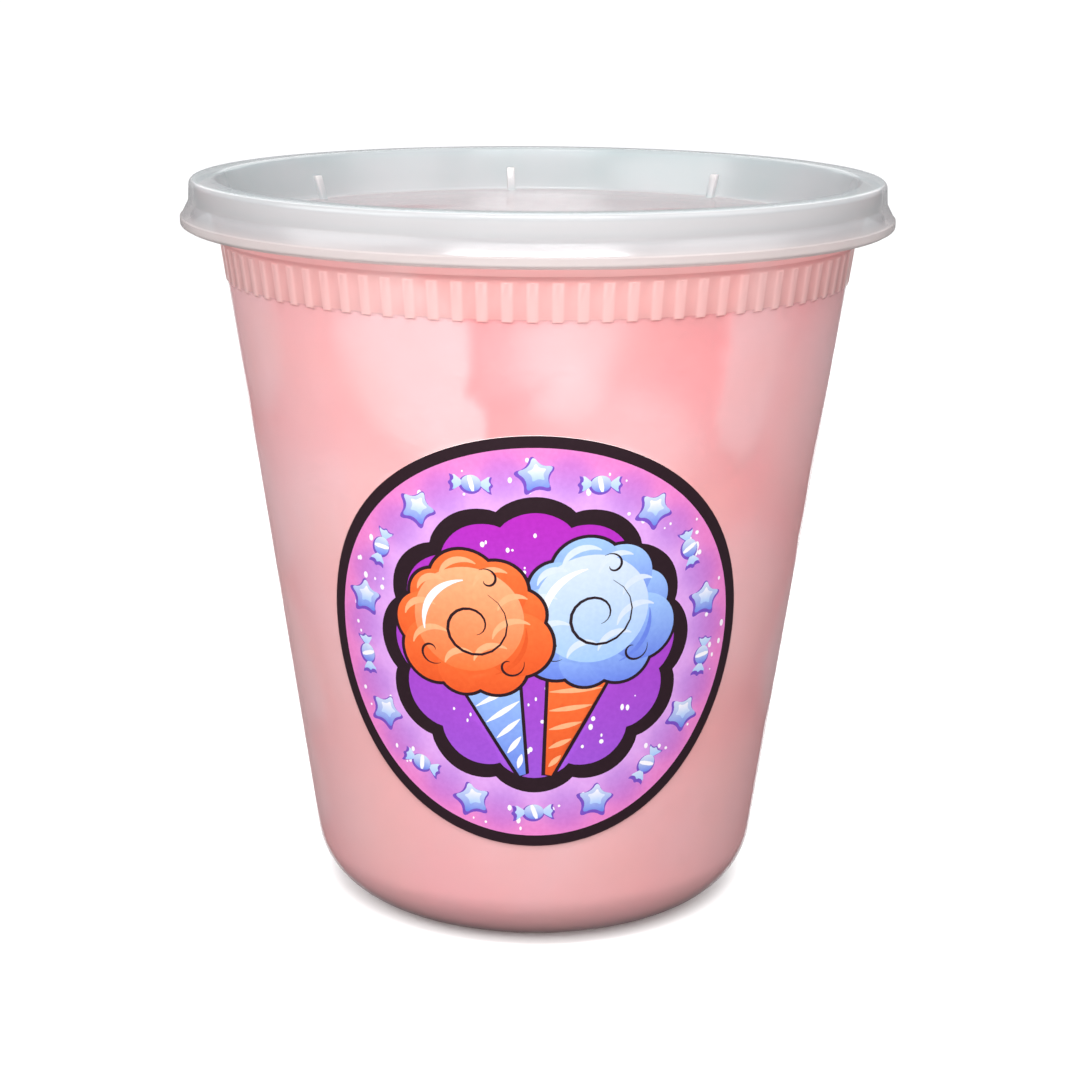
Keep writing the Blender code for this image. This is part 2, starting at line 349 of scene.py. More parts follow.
def sticker_material():
    """Satin coated paper, printed in the inks that the mesh stores, with a faint airbrushed grain."""
    material, shader, tree = new_material("sticker_print", (0.6, 0.3, 0.7), 0.38, 1.0, 0.35)
    ink = tree.nodes.new("ShaderNodeAttribute")
    ink.attribute_name = "ink"
    grain = add_range(tree, add_noise(tree, 1400, 3), 0.0, 0.16, 0.35, 0.7)
    tree.links.new(add_mix(tree, grain, ink.outputs["Color"], (1, 1, 1), "SOFT_LIGHT"),
                   shader.inputs["Base Color"])
    tree.links.new(add_range(tree, add_noise(tree, 120, 2), 0.3, 0.45), shader.inputs["Roughness"])
    add_bump(tree, shader, add_noise(tree, 2500, 1), 0.06, 0.02 * MM)
    return material


def floor_material():
    """A plain pale matte floor with the faintest mottling."""
    material, shader, tree = new_material("pale_floor", (0.93, 0.93, 0.93), 0.9, 1.0, 0.1)
    mottle = add_noise(tree, 8, 2)
    colour = add_ramp(tree, mottle, [(0.3, (0.92, 0.92, 0.92)), (0.7, (0.94, 0.94, 0.94))])
    tree.links.new(colour, shader.inputs["Base Color"])
    return material


# ---------------------------------------------------------------- turned shells


def rounded_outline(corners, spacing=RING_SPACING):
    """Turn corners of radius, height and fillet into points: arcs at fillets, long spans split."""
    points = []
    for index, (radius, height, fillet) in enumerate(corners):
        corner = Vector((radius, height))
        if fillet == 0:
            arc = [corner]
        else:
            before = (Vector(corners[index - 1][:2]) - corner).normalized()
            after = (Vector(corners[index + 1][:2]) - corner).normalized()
            half = before.angle(after) / 2
            centre = corner + (before + after).normalized() * fillet / math.sin(half)
            start = corner + before * fillet / math.tan(half) - centre
            end = corner + after * fillet / math.tan(half) - centre
            steps = math.ceil(start.angle(end) / (2 * math.acos(1 - CHORD_ERROR / fillet)))
            arc = [centre + start.slerp(end, step / steps) * fillet for step in range(steps + 1)]
        if points:
            span = arc[0] - points[-1]
            pieces = math.ceil(span.length / spacing)
            points += [points[-1] + span * piece / pieces for piece in range(1, pieces)]
        points += arc
    return np.array([tuple(point) for point in points])


def turned_mesh(name, outline, angles, place):
    """Turn an outline that starts and ends on the axis.

    place(radius, height, angle) gives the final radius and height of every point, as arrays.
    """
    rings, columns = len(outline) - 2, len(angles)
    radius = np.repeat(outline[1:-1, 0][:, None], columns, 1)
    height = np.repeat(outline[1:-1, 1][:, None], columns, 1)
    angle = np.repeat(np.asarray(angles)[None, :], rings, 0)
    radius, height = place(radius, height, angle)
    turn = np.radians(angle)
    grid = np.stack([radius * np.sin(turn), -radius * np.cos(turn), height], -1).reshape(-1, 3)
    poles = [(0, 0, outline[0, 1]), (0, 0, outline[-1, 1])]
    vertices = np.concatenate([grid, poles])
    first, last = len(grid), len(grid) + 1
    faces = []
    for column in range(columns):
        after = (column + 1) % columns
        faces.append((first, after, column))
        base = (rings - 1) * columns
        faces.append((last, base + column, base + after))
        for ring in range(rings - 1):
            low = ring * columns
            high = low + columns
            faces.append((low + column, low + after, high + after, high + column))
    mesh = bpy.data.meshes.new(name)
    mesh.from_pydata(vertices.tolist(), [], [face[::-1] for face in faces])
    return mesh


def add_piece(name, mesh, materials, sharp=None):
    """Put a mesh in the scene as a piece that rides on the tub's one body."""
    piece = bpy.data.objects.new(name, mesh)
    bpy.context.scene.collection.objects.link(piece)
    for material in materials:
        mesh.materials.append(material)
    mesh.shade_smooth()
    if sharp:
        mesh.set_sharp_from_angle(angle=math.radians(sharp))
    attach(piece, "root")
    return piece


def set_attribute(mesh, name, values):
    """Store one number for each vertex."""
    attribute = mesh.attributes.new(name, "FLOAT", "POINT")
    attribute.data.foreach_set("value", np.asarray(values, np.float32))


def vertex_array(mesh):
    """The mesh's vertices as an array."""
    points = np.zeros(len(mesh.vertices) * 3, np.float32)
    mesh.vertices.foreach_get("co", points)
    return points.reshape(-1, 3)


def rib_columns():
    """Angles of the tub's columns: close together at the ribs' edges."""
    edge = RIB_HALF_WIDTH
    offsets = (-edge - RIB_EDGE, -edge + RIB_EDGE, 0, edge - RIB_EDGE, edge + RIB_EDGE)
    pitch = 360 / RIB_COUNT
    angles = []
    for rib in range(RIB_COUNT):
        middle = RIB_ANGLE + rib * pitch
        angles += [middle + offset for offset in offsets] + [middle + pitch / 2]
    return angles


def rib_cover(angle):
    """1 on a rib's face and 0 between the ribs."""
    pitch = 360 / RIB_COUNT
    away = np.abs((angle - RIB_ANGLE + pitch / 2) % pitch - pitch / 2)
    return 1 - smoothstep(RIB_HALF_WIDTH - RIB_EDGE, RIB_HALF_WIDTH + RIB_EDGE, away)


def between(height, low, high):
    """1 between two heights and 0 outside them, with a short ramp at each."""
    rise = smoothstep(low - RIB_SOFT, low + RIB_SOFT, height)
    return rise * (1 - smoothstep(high - RIB_SOFT, high + RIB_SOFT, height))


def collar_relief(radius, height, angle):
    """Raise the ribs, and the band between them, on the outer wall."""
    outer = radius > wall_radius(height) - WALL / 2
    ribs = rib_cover(angle) * between(height, RIB_LOW, RIB_HIGH)
    band = between(height, GAP_LOW, COLLAR_FOOT)
    proud = np.maximum(ribs * RIB_PROUD, band * GAP_PROUD)
    return radius + np.where(outer, proud, 0), height


def build_tub():
    """The tub's shell, with its milkiness stored for the material."""
    inner_foot = wall_radius(FLOOR) - WALL / math.cos(TAPER)
    inner_shoulder = wall_radius(SHOULDER_HEIGHT) - WALL / math.cos(TAPER)
    flange_low = TUB_TOP - FLANGE_THICK
    corners = [
        (0, FLOOR, 0),
        (inner_foot, FLOOR, CORNER_RADIUS - WALL),
        (inner_shoulder, SHOULDER_HEIGHT, 0),
        (RIM_INNER_RADIUS, TUB_TOP, 0.2 * MM),
        (RIM_OUTER_RADIUS, TUB_TOP, 0.5 * MM),
        (RIM_OUTER_RADIUS, flange_low, 0.3 * MM),
        (COLLAR_TOP_RADIUS, flange_low - 0.3 * MM, 0.4 * MM),
        (COLLAR_FOOT_RADIUS, COLLAR_FOOT + 3 * RIB_SOFT, 0.25 * MM),
        (wall_radius(COLLAR_FOOT), COLLAR_FOOT - RIB_SOFT, 0),
    ]
    for height in (RIB_HIGH, GAP_LOW, RIB_LOW):
        for edge in (height + RIB_SOFT, height, height - RIB_SOFT):
            corners.append((wall_radius(edge), edge, 0))
    corners.append((wall_radius(RIB_LOW - 2 * RIB_SOFT), RIB_LOW - 2 * RIB_SOFT, 0))
    corners += [(FOOT_RADIUS, 0, CORNER_RADIUS), (0, 0, 0)]
    outline = rounded_outline(corners)
    columns = rib_columns()
    mesh = turned_mesh("tub_shell", outline, columns, collar_relief)
    points = vertex_array(mesh)
    angle = np.degrees(np.arctan2(points[:, 0], -points[:, 1]))
    height = points[:, 2]
    collar = smoothstep(GAP_LOW - RIB_SOFT, GAP_LOW + RIB_SOFT, height)
    on_rib = rib_cover(angle) * between(height, RIB_LOW, RIB_HIGH)
    outer_ring = np.arange(len(outline) - 2) > outline[1:-1, 1].argmax()
    outer = np.append(np.repeat(outer_ring, len(columns)), [False, True])
    opacity = WALL_OPACITY + (GAP_OPACITY - WALL_OPACITY) * collar
    opacity += (RIB_OPACITY - opacity) * on_rib
    set_attribute(mesh, "opacity", np.where(outer, opacity, 0))
    piece = add_piece("tub_shell", mesh, [tub_material()], 35)
    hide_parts("tub")
    return piece


def build_lid_ribs():
    """The short upright ribs in the lid's recess, as one mesh to be joined to the lid."""
    panel = LID_TOP - PANEL_DEPTH
    slope = (CREST_INNER_RADIUS - PANEL_RADIUS) / PANEL_DEPTH
    low, high = panel - LID_RIB_SINK, panel + LID_RIB_RISE
    bm = bmesh.new()
    for index in range(LID_RIB_COUNT):
        cube = bmesh.ops.create_cube(bm, size=1)
        for vertex in cube["verts"]:
            height = low if vertex.co.z < 0 else high
            proud = LID_RIB_PROUD if vertex.co.x < 0 else -LID_RIB_SINK
            radius = PANEL_RADIUS + slope * (height - panel) - proud
            vertex.co = (radius, vertex.co.y * LID_RIB_WIDTH, height)
        turn = Matrix.Rotation(math.radians(LID_RIB_ANGLE + 360 * index / LID_RIB_COUNT - 90), 3, "Z")
        bmesh.ops.rotate(bm, verts=cube["verts"], matrix=turn)
    bmesh.ops.bevel(
        bm, geom=bm.edges[:], offset=0.15 * MM, segments=2, profile=0.5, affect="EDGES"
    )
    mesh = bpy.data.meshes.new("lid_ribs")
    bm.to_mesh(mesh)
    bm.free()
    return mesh


def build_lid():
    """The lid: sunk panel, channel over the rim, snap bead, flared lip and short ribs."""
    panel = LID_TOP - PANEL_DEPTH
    lip = LIP_RADIUS
    outline = rounded_outline([
        (0, panel, 0),
        (PANEL_RADIUS, panel, LID_THICK),
        (CREST_INNER_RADIUS, LID_TOP, LID_THICK),
        (CREST_OUTER_RADIUS, LID_TOP, 0.95 * MM),
        (WAIST_RADIUS, WAIST_HEIGHT, 1.2 * MM),
        (lip - 0.25 * MM, LIP_HEIGHT + 0.1 * MM, 0.1 * MM),
        (lip, LIP_HEIGHT - 0.1 * MM, 0.1 * MM),
        (lip, SKIRT_HEIGHT + 0.5 * MM, 0.5 * MM),
        (lip - 0.9 * MM, SKIRT_HEIGHT, 0.3 * MM),
        (SKIRT_INNER_RADIUS, SKIRT_HEIGHT, 0.15 * MM),
        (SKIRT_INNER_RADIUS, LIP_HEIGHT, 0.3 * MM),
        (SNAP_RADIUS, SNAP_HEIGHT, 0.3 * MM),
        (CHANNEL_OUTER_RADIUS, SNAP_HEIGHT + LID_THICK, 0.2 * MM),
        (CHANNEL_OUTER_RADIUS, LID_TOP - LID_THICK, 0.3 * MM),
        (CHANNEL_INNER_RADIUS, LID_TOP - LID_THICK, 0.3 * MM),
        (PANEL_RADIUS + LID_THICK, panel - LID_THICK, 0.4 * MM),
        (0, panel - LID_THICK, 0),
    ])
    angles = np.arange(LID_COLUMNS) * 360 / LID_COLUMNS
    mesh = turned_mesh("lid_shell", outline, angles, lambda radius, height, angle: (radius, height))
    points = vertex_array(mesh)
    away = np.hypot(points[:, 0], points[:, 1])
    outer_side = smoothstep(CREST_OUTER_RADIUS - 0.6 * MM, CREST_OUTER_RADIUS - 0.3 * MM, away)
    edge = smoothstep(SKIRT_HEIGHT + 0.45 * MM, SKIRT_HEIGHT + 0.1 * MM, points[:, 2])
    lip_band = smoothstep(LIP_HEIGHT + 0.2 * MM, LIP_HEIGHT, points[:, 2])
    flare = smoothstep(WAIST_HEIGHT + 0.3 * MM, WAIST_HEIGHT - 0.5 * MM, points[:, 2])
    # Milkiness of the outer faces, with painted shade on the flare and a painted highlight on the bottom edge.
    set_attribute(mesh, "milk_and_painted_light", outer_side * (0.2 + 0.1 * flare + 0.1 * lip_band + 0.6 * edge))
    low = smoothstep(panel + 0.6 * MM, panel, points[:, 2])
    set_attribute(mesh, "panel", low * smoothstep(PANEL_RADIUS + MM, PANEL_RADIUS - MM, away))
    piece = add_piece("lid_shell", mesh, [lid_material()])
    ribs = bpy.data.objects.new("lid_ribs", build_lid_ribs())
    bpy.context.scene.collection.objects.link(ribs)
    union = piece.modifiers.new("ribs", "BOOLEAN")
    union.operation = "UNION"
    union.solver = "EXACT"
    union.object = ribs
    bpy.context.view_layer.update()
    evaluated = piece.evaluated_get(bpy.context.evaluated_depsgraph_get())
    joined = bpy.data.meshes.new_from_object(evaluated)
    points = vertex_array(joined)
    sunk = PANEL_RADIUS + (points[:, 2] - panel) * (CREST_INNER_RADIUS - PANEL_RADIUS) / PANEL_DEPTH
    on_rib = np.hypot(points[:, 0], points[:, 1]) < sunk - 0.15 * MM
    on_rib &= points[:, 2] > panel + 0.25 * MM
    milk_and_painted_light = np.zeros(len(points), np.float32)
    joined.attributes["milk_and_painted_light"].data.foreach_get("value", milk_and_painted_light)
    milk_and_painted_light[on_rib] = RIB_MILK
    joined.attributes["milk_and_painted_light"].data.foreach_set("value", milk_and_painted_light)
    piece.modifiers.clear()
    piece.data = joined
    bpy.data.objects.remove(ribs)
    joined.shade_smooth()
    joined.set_sharp_from_angle(angle=math.radians(35))
    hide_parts("lid")
    return piece


# ---------------------------------------------------------------- candy

CANDY_COLUMNS = 360
CANDY_RING_SPACING = 0.9 * MM
CANDY_CLEARANCE = -0.57 * MM
CANDY_EDGE_RADIUS = 1.6 * MM
WAD_REACH = 26 * MM
WAD_SLOPE = 0.8 * MM
CREASE_LIMIT = 5 * MM
WAD_BLEND = 0.25 * MM
CREASE_SHARE = 0.2
# How far behind the wall the candy's painted light fades into painted crease shade.
PRESS_DEPTH = 1.25 * MM

# Wads against the wall, in degrees and millimetres: angle, height, half width, half height,
# tilt, crispness of the left and right edges, drop from the wall.
FRONT_WADS = [
    (-24.5, 100, 11.4, 13.5, 0, 3, 18, 0.0),
    (-17.5, 89.5, 8, 7.5, 0, 2, 12, 0.05),
    (5.5, 102, 9.5, 8, 0, 3, 3, 0.1),
    (6.5, 94.5, 6, 6.5, 15, 3, 3, 0.2),
    (20, 86, 12, 9, 8, 3, 3, 0.45),
    (43, 98, 8.5, 17, 0, 14, 2, 0.45),
    (-47, 97, 13, 18, 0, 2, 2, 0.75),
    (-40, 75, 15, 11, -30, 3, 3, 0.35),
    (0, 60, 22, 16, 0, 3, 3, 0.3),
    (-42, 48, 20, 15, 20, 3, 3, 0.3),
    (42, 56, 20, 17, -15, 3, 3, 0.35),
    (5, 26, 24, 19, 0, 3, 3, 0.35),
    (-45, 18, 17, 13, 10, 3, 2, 0.5),
    (50, 20, 18, 13, -10, 3, 3, 0.55),
    (66, 92, 16, 20, 10, 3, 3, 0.4),
]
BACK_WAD_HEIGHTS = (98, 72, 46, 20)
BACK_WAD_ANGLES = (88, 122, 156, 190, 224, 258, 288)
# Wads under the lid: angle, distance from the axis, radius, crispness, drop.
TOP_WADS = [(20, 8, 21, 3, 0.6), (140, 24, 19, 2.5, 0.8), (-110, 26, 18, 2.5, 0.5), (75, 30, 15, 3, 0.9)]
# The wad that fills the foot: radius, crispness, drop.
FOOT_WAD = (52, 6, 0.75)


def wad_list():
    """Every wad as angle, centre, three half sizes, tilt, left and right crispness, and drop."""
    rng = random.Random(7)
    wall = list(FRONT_WADS)
    for row, height in enumerate(BACK_WAD_HEIGHTS):
        for angle in BACK_WAD_ANGLES:
            wall.append((
                angle + 17 * (row % 2) + rng.uniform(-6, 6), height + rng.uniform(-4, 4),
                rng.uniform(15, 20), rng.uniform(13, 18), rng.uniform(-30, 30),
                rng.choice((2, 2.5, 3, 6)), rng.choice((2, 3, 9)), rng.uniform(0.1, 0.5),
            ))
    wads = []
    for angle, height, half_width, half_height, tilt, left, right, drop in wall:
        centre = direction(angle) * wall_radius(height * MM) + Vector((0, 0, height * MM))
        sizes = (half_width * MM, half_height * MM, WAD_REACH)
        wads.append((angle, centre, sizes, math.radians(tilt), left, right, drop * MM))
    for angle, distance, size, crispness, drop in TOP_WADS:
        centre = direction(angle) * distance * MM + Vector((0, 0, CANDY_TOP))
        wads.append((angle, centre, (size * MM,) * 3, 0, crispness, crispness, drop * MM))
    size, crispness, drop = FOOT_WAD
    wads.append((0, Vector((0, 0, 0)), (size * MM,) * 3, 0, crispness, crispness, drop * MM))
    return wads


def wander(points, size, amount, seed):
    """Shift points by a smooth noise, so that outlines waver."""
    shifts = []
    offset = Vector((seed * 7.3, seed * 3.1, seed * 5.7))
    for point in points:
        shifts.append(noise.noise_vector(Vector(point) / size + offset))
    return points + np.array(shifts) * amount


def candy_depth(points):
    """How far the candy lies behind the wall or the lid at each point."""
    points = wander(points, 13 * MM, 2.4 * MM, 1)
    points = wander(points, 4.5 * MM, 0.9 * MM, 2)
    points = wander(points, 2.2 * MM, 0.35 * MM, 3)
    total = np.zeros(len(points))
    for angle, centre, sizes, tilt, left, right, drop in wad_list():
        outward = np.array(direction(angle))
        tangent = np.array(direction(angle + 90))
        away = points - np.array(centre)
        across, up, inward = away @ tangent, away[:, 2], -(away @ outward)
        tilted = across * math.cos(tilt) - up * math.sin(tilt)
        risen = across * math.sin(tilt) + up * math.cos(tilt)
        reach = np.sqrt((tilted / sizes[0]) ** 2 + (risen / sizes[1]) ** 2 + (inward / sizes[2]) ** 2)
        crispness = left + (right - left) * smoothstep(-0.4, 0.4, tilted / sizes[0])
        depth = drop + WAD_SLOPE * reach ** crispness
        total += np.exp(-np.minimum(depth, CREASE_LIMIT * 6) / WAD_BLEND)
    depth = -WAD_BLEND * np.log(np.maximum(total, 1e-30))
    return CREASE_LIMIT * (1 - np.exp(-np.maximum(depth, 0) / CREASE_LIMIT))


def build_candy():
    """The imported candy: a fine turned mass, pushed in at its creases and ruffled by fibres."""
    clearance = (WALL + CANDY_CLEARANCE) / math.cos(TAPER)
    low = FLOOR + CANDY_CLEARANCE
    outline = rounded_outline([
        (0, CANDY_TOP, 0),
        (wall_radius(CANDY_TOP) - clearance, CANDY_TOP, CANDY_EDGE_RADIUS),
        (wall_radius(low) - clearance, low, CORNER_RADIUS - WALL - CANDY_CLEARANCE),
        (0, low, 0),
    ], CANDY_RING_SPACING)
    run = np.gradient(outline, axis=0)
    normal = np.stack([-run[:, 1], run[:, 0]], -1) / np.linalg.norm(run, axis=1)[:, None]
    angles = np.arange(CANDY_COLUMNS) * 360 / CANDY_COLUMNS
    stored = {}

    def press(radius, height, angle):
        turn = np.radians(angle)
        points = np.stack([radius * np.sin(turn), -radius * np.cos(turn), height], -1).reshape(-1, 3)
        depth = candy_depth(points)
        # Painted light where the candy lies close to the wall, fading to painted shade in the creases.
        stored["pressed"] = np.exp(-depth / PRESS_DEPTH)
        fibres = wander(points, 2.2 * MM, 1, 5)[:, 0] - points[:, 0]
        depth = (depth * CREASE_SHARE + 0.08 * MM * np.abs(fibres)).reshape(radius.shape)
        push = normal[1:-1, None, :] * depth[:, :, None]
        return np.maximum(radius - push[:, :, 0], 0), height - push[:, :, 1]

    mesh = turned_mesh("candy_mass", outline, angles, press)
    set_attribute(mesh, "pressed", np.append(stored["pressed"], [0.5, 0.5]))
    piece = add_piece("candy_mass", mesh, [candy_material()])
    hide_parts("cotton_candy")
    return piece


# ---------------------------------------------------------------- sticker

# The print is laid out flat, in millimetres from the sticker's middle, and wrapped on the wall.
STICKER_RADIUS = 34.8
STICKER_MIDDLE = 54.3 * MM
STICKER_FACE = 0.16 * MM
STICKER_BACK = 0.02 * MM
PRINT_GRID = 1.3
BAND_OUTER = 32.9
BAND_INNER = 24.2
FIELD_RADIUS = 21.6
SCALLOPS = 12
SCALLOP_DEPTH = 0.9
MOTIF_RADIUS = 28.6
MOTIF_COUNT = 18
LINE = 0.55
HAZE_REACH = 3.8
HAZE_SHARE = 0.4

BLACK = (0.022, 0.010, 0.015)
WHITE = (0.90, 0.86, 0.92)
PINK = (0.77, 0.21, 0.55)
LILAC = (0.68, 0.34, 0.78)
VIOLET = (0.17, 0.07, 0.48)
HAZE = (0.26, 0.09, 0.58)
MAGENTA = (0.42, 0.02, 0.46)
PLUM = (0.30, 0.08, 0.60)
ORANGE = (0.93, 0.16, 0.04)
ORANGE_DEEP = (0.72, 0.09, 0.02)
ORANGE_PALE = (0.98, 0.40, 0.20)
ICE = (0.33, 0.52, 0.88)
ICE_DEEP = (0.13, 0.21, 0.72)
ICE_PALE = (0.62, 0.70, 0.86)


def ring_of(x, y, size, count):
    """Points on a circle."""
    turns = np.arange(count) * math.tau / count
    return np.stack([x + size * np.cos(turns), y + size * np.sin(turns)], -1)


def scalloped(radius, depth):
    """A circle with rounded lobes."""
    turns = np.arange(SCALLOPS * 14) * math.tau / (SCALLOPS * 14)
    wave = radius + depth * (2 * np.abs(np.cos(turns * SCALLOPS / 2)) ** 0.8 - 1)
    return np.stack([wave * np.cos(turns), wave * np.sin(turns)], -1)


def soften(points, rounds=2):
    """Cut a polygon's corners, again and again, until they look round."""
    for _ in range(rounds):
        after = np.roll(points, -1, 0)
        points = np.stack([points * 0.75 + after * 0.25, points * 0.25 + after * 0.75], 1).reshape(-1, 2)
    return points


def placed(points, x, y, size, turn):
    """Turn a shape by an angle in degrees, scale it and move it."""
    angle = math.radians(turn)
    across = points[:, 0] * math.cos(angle) - points[:, 1] * math.sin(angle)
    up = points[:, 0] * math.sin(angle) + points[:, 1] * math.cos(angle)
    return np.stack([x + across * size, y + up * size], -1)


def stroke(points, width):
    """The outline of a line that is thin at its ends."""
    points = np.asarray(points, float)
    run = np.gradient(points, axis=0)
    side = np.stack([-run[:, 1], run[:, 0]], -1) / np.linalg.norm(run, axis=1)[:, None]
    half = width / 2 * np.sin(np.linspace(0.15, math.pi - 0.15, len(points)))[:, None]
    return np.concatenate([points + side * half, (points - side * half)[::-1]])


def curl(x, y, size, start, turns, width):
    """A tapering curl that winds outward."""
    sweep = np.linspace(0, 1, 26)
    angle = np.radians(start) + sweep * turns * math.tau
    reach = size * (0.25 + 0.75 * sweep)
    return stroke(np.stack([x + reach * np.cos(angle), y + reach * np.sin(angle)], -1), width)


def arc_stroke(x, y, size, start, end, width):
    """A tapering arc between two angles in degrees."""
    angle = np.radians(np.linspace(start, end, 14))
    return stroke(np.stack([x + size * np.cos(angle), y + size * np.sin(angle)], -1), width)


def star(size_in=0.5):
    """A five-pointed star with soft corners, one unit in radius."""
    turns = np.arange(10) * math.tau / 10 + math.pi / 2
    reach = np.where(np.arange(10) % 2, size_in, 1)
    return soften(np.stack([reach * np.cos(turns), reach * np.sin(turns)], -1))


def draw_band(rng):
    """The pink band: white specks, and ice-blue stars and wrapped sweets in turn."""
    shapes = [(ring_of(0, 0, BAND_OUTER, 180), PINK, LILAC)]
    for _ in range(70):
        turn, reach = rng.uniform(0, math.tau), rng.uniform(BAND_INNER + 1.6, BAND_OUTER - 0.8)
        size = rng.uniform(0.14, 0.42)
        speck = ring_of(0, 0, size, 8) * (1, rng.uniform(1, 1.9))
        shapes.append((speck + (reach * math.cos(turn), reach * math.sin(turn)), WHITE, WHITE))
    wing = soften(np.array([(0.55, 0.1), (1.25, 0.62), (1.12, 0.2), (1.32, 0), (1.12, -0.2),
                            (1.25, -0.62), (0.55, -0.1)]), 1)
    body = ring_of(0, 0, 0.66, 26) * (1, 0.86)
    stripe = soften(np.array([(-0.28, 0.52), (0.02, 0.56), (0.3, -0.5), (0, -0.56)]), 1)
    for index in range(MOTIF_COUNT):
        turn = 90 + 360 * index / MOTIF_COUNT
        x = MOTIF_RADIUS * math.cos(math.radians(turn))
        y = MOTIF_RADIUS * math.sin(math.radians(turn))
        if index % 2:
            tilt = turn + 90 + rng.uniform(-25, 25)
            parts = [(wing, ICE, ICE_PALE), (-wing, ICE, ICE_PALE), (body, ICE_DEEP, ICE_PALE),
                     (stripe, WHITE, WHITE)]
            for points, low, high in parts[:3]:
                edge = placed(points, x - 0.12, y - 0.2, 2.72, tilt)
                shapes.append((edge, VIOLET, VIOLET))
            for points, low, high in parts:
                shapes.append((placed(points, x, y, 2.35, tilt), low, high))
        else:
            tilt = turn - 90 + rng.uniform(-12, 12)
            shapes.append((placed(star(), x - 0.15, y - 0.25, 3.75, tilt), VIOLET, VIOLET))
            shapes.append((placed(star(), x, y, 3.2, tilt), ICE_DEEP, ICE_PALE))
            shapes.append((placed(star(), x + 0.15, y + 0.3, 1.7, tilt), ICE, WHITE))
    return shapes


def draw_floss(x, y, size, inks, tip, cone_inks):
    """A cloud of spun sugar on a striped paper cone that ends at its tip."""
    deep, middle, pale = inks
    toward = np.array(tip, float) - (x, y)
    side = np.array([-toward[1], toward[0]]) / np.hypot(*toward)
    top = np.array([x, y]) + toward * 0.30
    half = size * 0.42
    shapes = []
    for grow, low, high in ((LINE, BLACK, BLACK), (0, cone_inks[0], cone_inks[1])):
        shapes.append((np.array([
            top + side * (half + grow), top - side * (half + grow),
            tip - side * (0.5 + grow) + toward * 0.02 * grow, tip + side * (0.5 + grow),
        ]), low, high))
    for step in range(1, 6):
        here, there = step / 6.2, (step + 0.75) / 6.2
        left = top + (tip - top) * here + side * half * (1 - here)
        right = top + (tip - top) * there - side * half * (1 - there)
        shapes.append((stroke(np.linspace(left, right, 6), 0.9), cone_inks[2], cone_inks[2]))
    lobes = [(0, 0, 0.78)]
    for index in range(9):
        turn = math.radians(20 + 40 * index)
        lobes.append((0.64 * math.cos(turn), 0.62 * math.sin(turn), 0.36 + 0.05 * (index % 3)))
    for across, up, reach in lobes:
        shapes.append((ring_of(x + across * size, y + up * size, reach * size + LINE, 44), BLACK, BLACK))
    for across, up, reach in lobes:
        shapes.append((ring_of(x + across * size, y + up * size, reach * size, 44), deep, middle))
    shapes.append((ring_of(x - 0.05 * size, y + 0.1 * size, 0.74 * size, 60), middle, pale))
    for across, up, reach in lobes[1:]:
        shapes.append((
            arc_stroke(x + across * size, y + up * size, reach * size * 0.72, 60, 170, 0.09 * size), pale, pale
        ))
    shapes.append((curl(x, y, 0.52 * size, -60, 1.35, 0.5), BLACK, BLACK))
    shapes.append((arc_stroke(x, y, 0.66 * size, 100, 190, 0.1 * size), WHITE, WHITE))
    shapes.append((arc_stroke(x + 0.1 * size, y - 0.08 * size, 0.62 * size, -70, 10, 0.07 * size), deep, deep))
    shapes.append((curl(x + 0.5 * size, y - 0.52 * size, 0.2 * size, 90, 0.8, 0.4), BLACK, BLACK))
    shapes.append((curl(x - 0.55 * size, y - 0.42 * size, 0.2 * size, 20, 0.8, 0.4), BLACK, BLACK))
    shapes.append((curl(x + 0.2 * size, y + 0.68 * size, 0.17 * size, 200, 0.8, 0.4), BLACK, BLACK))
    return shapes


def draw_field(rng):
    """The purple field in its black scalloped border, with white specks and two flosses."""
    shapes = [(scalloped(BAND_INNER, SCALLOP_DEPTH), BLACK, BLACK)]
    shapes.append((scalloped(FIELD_RADIUS, SCALLOP_DEPTH), PLUM, MAGENTA))
    for _ in range(80):
        turn, reach = rng.uniform(0, math.tau), (FIELD_RADIUS - 1.8) * math.sqrt(rng.random())
        size = rng.uniform(0.12, 0.4)
        speck = ring_of(0, 0, size, 8) * (1, rng.uniform(1, 1.9))
        shapes.append((speck + (reach * math.cos(turn), reach * math.sin(turn)), WHITE, WHITE))
    orange = (ORANGE_DEEP, ORANGE, ORANGE_PALE)
    ice = (ICE_DEEP, ICE, ICE_PALE)
    shapes += draw_floss(9.4, 5.2, 12.2, ice, (2.2, -22.0), (ORANGE_DEEP, ORANGE, ORANGE_PALE))
    shapes += draw_floss(-9.8, 3.2, 11.8, orange, (-1.8, -22.0), (ICE_DEEP, ICE, WHITE))
    return shapes


def draw_sticker():
    """Every printed shape, from the lowest to the topmost, as outline, lower and upper ink."""
    rng = random.Random(11)
    shapes = [(ring_of(0, 0, STICKER_RADIUS, 180), BLACK, BLACK)]
    return shapes + draw_band(rng) + draw_field(rng)


def inside(points, outline):
    """Which points lie in an outline."""
    hits = np.zeros(len(points), bool)
    x, y = points[:, 0], points[:, 1]
    for (x0, y0), (x1, y1) in zip(outline, np.roll(outline, -1, 0)):
        if y0 != y1:
            crosses = ((y0 > y) != (y1 > y)) & (x < (x1 - x0) * (y - y0) / (y1 - y0) + x0)
            hits ^= crosses
    return hits


